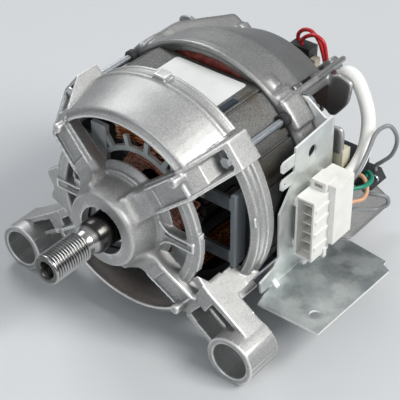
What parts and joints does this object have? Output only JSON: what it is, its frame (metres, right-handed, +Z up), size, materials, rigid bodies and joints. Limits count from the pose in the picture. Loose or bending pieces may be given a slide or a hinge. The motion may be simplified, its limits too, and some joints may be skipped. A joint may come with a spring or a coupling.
{
  "type": "washing machine motor",
  "caption": "Universal brushed motor for a washing machine drum: cast aluminium shields round a laminated iron, ribbed belt pulley shaft, connector bracket and leads.",
  "frame": {"origin": "shaft axis at the front face of the front shield's hub", "axes": "+Y along the shaft axis from the pulley end to the brush end, +Z up away from the mounting eyes, +X towards the connector"},
  "size_m": [0.1836, 0.2024, 0.129],
  "materials": {
    "cast_front": "as cast, fine grain",
    "cast_rear": "as cast, smooth",
    "iron": "oiled laminations",
    "copper_wire": "enamelled copper",
    "white_frame": "moulded nylon",
    "red_insulation": "varnished sleeve",
    "zinc_steel": "zinc plated",
    "dark_steel": "ground steel",
    "bearing_steel": "polished",
    "cage_steel": "pressed",
    "lacquered_winding": "dipped in lacquer",
    "commutator_copper": "turned copper",
    "magnet": "bonded ferrite",
    "black_plastic": "moulded",
    "cream_plastic": "moulded",
    "carbon": "pressed carbon",
    "spring_steel": "drawn wire",
    "galvanised": "galvanised sheet with spangle",
    "white_plastic": "moulded nylon",
    "terminal_brass": "tinned brass",
    "grey_sleeve": "soft sleeve",
    "grey_lead": "insulated lead",
    "green_lead": "insulated lead",
    "peach_lead": "insulated lead",
    "red_lead": "insulated lead"
  },
  "bodies": {
    "frame": {"front_shield": "cast_front", "rear_shield": "cast_rear", "stator_core": "iron", "field_coil_top": "copper_wire", "field_coil_bottom": "copper_wire", "coil_frame_front": "white_frame", "coil_frame_rear": "white_frame", "coil_wraps": "red_insulation", "tie_bolts": "zinc_steel", "wave_washer": "dark_steel", "front_bearing_outer": "bearing_steel", "rear_bearing_outer": "bearing_steel", "tacho_housing": "black_plastic", "tacho_plug": "cream_plastic", "brush_holder_right": "black_plastic", "brush_holder_left": "black_plastic", "brush_spring_right": "spring_steel", "brush_spring_left": "spring_steel", "connector_bracket": "galvanised", "bracket_screws": "zinc_steel", "connector_housing": "white_plastic", "connector_terminals": "terminal_brass", "loom_sleeve": "grey_sleeve", "lead_grey_long": "grey_lead", "lead_grey_loop": "grey_lead", "lead_green": "green_lead", "lead_peach": "peach_lead", "leads_red": "red_lead"},
    "rotor": {"shaft": "dark_steel", "rotor_core": "iron", "rotor_winding": "lacquered_winding", "commutator": "commutator_copper", "tacho_magnet": "magnet", "front_bearing_inner": "bearing_steel", "rear_bearing_inner": "bearing_steel"},
    "front_balls": {"front_bearing_balls": "bearing_steel", "front_bearing_cage": "cage_steel"},
    "rear_balls": {"rear_bearing_balls": "bearing_steel", "rear_bearing_cage": "cage_steel"},
    "brush_slider_right": {"brush_right": "carbon"},
    "brush_slider_left": {"brush_left": "carbon"}
  },
  "joints": [
    {"name": "rotor_turn", "type": "hinge", "parent": "frame", "child": "rotor", "pos_m": [0, 0.06, 0], "axis": [0, 1, 0], "continuous": true},
    {"name": "front_balls_turn", "type": "hinge", "parent": "frame", "child": "front_balls", "pos_m": [0, 0.0106, 0], "axis": [0, 1, 0], "continuous": true},
    {"name": "rear_balls_turn", "type": "hinge", "parent": "frame", "child": "rear_balls", "pos_m": [0, 0.145, 0], "axis": [0, 1, 0], "continuous": true},
    {"name": "brush_right_slide", "type": "slide", "parent": "frame", "child": "brush_slider_right", "axis": [1, 0, 0], "range_m": [0, 0.006], "stiffness_N_per_m": 150, "springref_m": -0.02, "deforming": ["brush_spring_right"]},
    {"name": "brush_left_slide", "type": "slide", "parent": "frame", "child": "brush_slider_left", "axis": [-1, 0, 0], "range_m": [0, 0.006], "stiffness_N_per_m": 150, "springref_m": -0.02, "deforming": ["brush_spring_left"]}
  ],
  "couplings": [
    {"joint": "front_balls_turn", "follows": "rotor_turn", "ratio": 0.4011},
    {"joint": "rear_balls_turn", "follows": "rotor_turn", "ratio": 0.3701}
  ]
}
